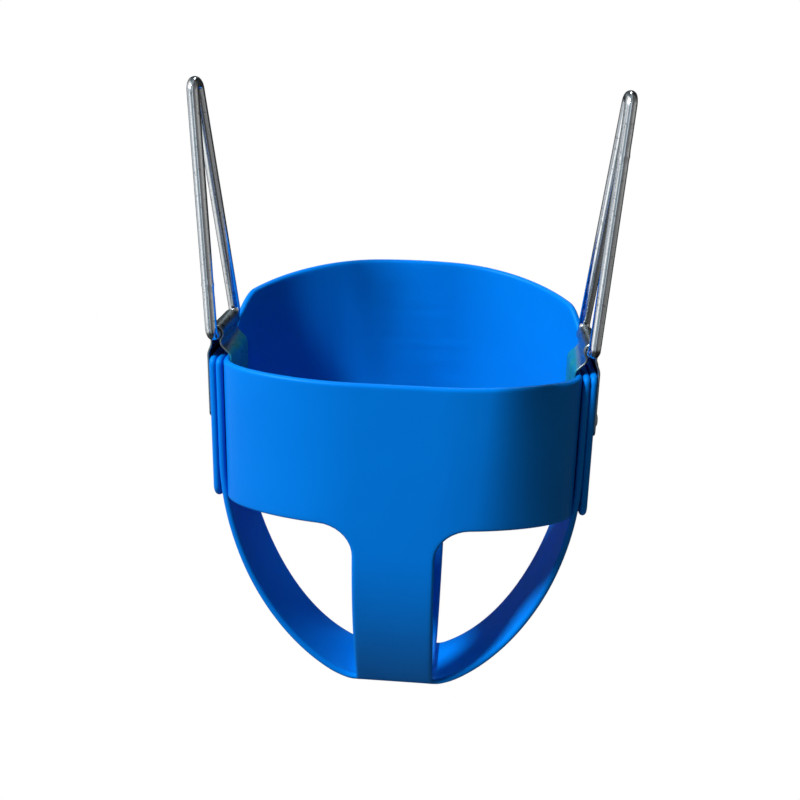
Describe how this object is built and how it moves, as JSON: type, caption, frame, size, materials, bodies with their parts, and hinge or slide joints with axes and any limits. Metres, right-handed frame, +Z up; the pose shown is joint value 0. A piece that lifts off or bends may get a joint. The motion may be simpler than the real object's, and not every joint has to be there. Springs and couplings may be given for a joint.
{
  "type": "toddler bucket swing seat",
  "caption": "Full bucket swing seat with high back, leg openings, riveted steel brackets and hinged triangular hangers.",
  "frame": {"origin": "middle of the footprint, at the level of the lowest rivet heads under the seat pan", "axes": "+Z up, the child faces -Y, +X towards the right-hand bracket seen from the front"},
  "size_m": [0.3362, 0.185, 0.5139],
  "materials": {
    "seat_polymer": "smooth moulded sheet with a soft sheen",
    "bracket_zinc": "zinc-plated pressed sheet",
    "hanger_zinc": "bright zinc-plated rod",
    "rivet_zinc": "zinc-plated"
  },
  "bodies": {
    "seat": {"seat_moulding": "seat_polymer", "back_panel": "seat_polymer", "left_bracket": "bracket_zinc", "right_bracket": "bracket_zinc", "left_bracket_rivets": "rivet_zinc", "right_bracket_rivets": "rivet_zinc", "seat_pan_rivets": "rivet_zinc", "seat_pan_washers": "rivet_zinc"},
    "left_hanger": {"left_hanger": "hanger_zinc"},
    "right_hanger": {"right_hanger": "hanger_zinc"}
  },
  "joints": [
    {"name": "left_hanger_hinge", "type": "hinge", "parent": "seat", "child": "left_hanger", "pos_m": [-0.14639, -0.02628, 0.3178], "axis": [-0.0872, -0.9962, 0], "range_deg": [-46, 129]},
    {"name": "right_hanger_hinge", "type": "hinge", "parent": "seat", "child": "right_hanger", "pos_m": [0.14639, -0.02628, 0.3178], "axis": [-0.0872, 0.9962, 0], "range_deg": [-46, 129]}
  ]
}
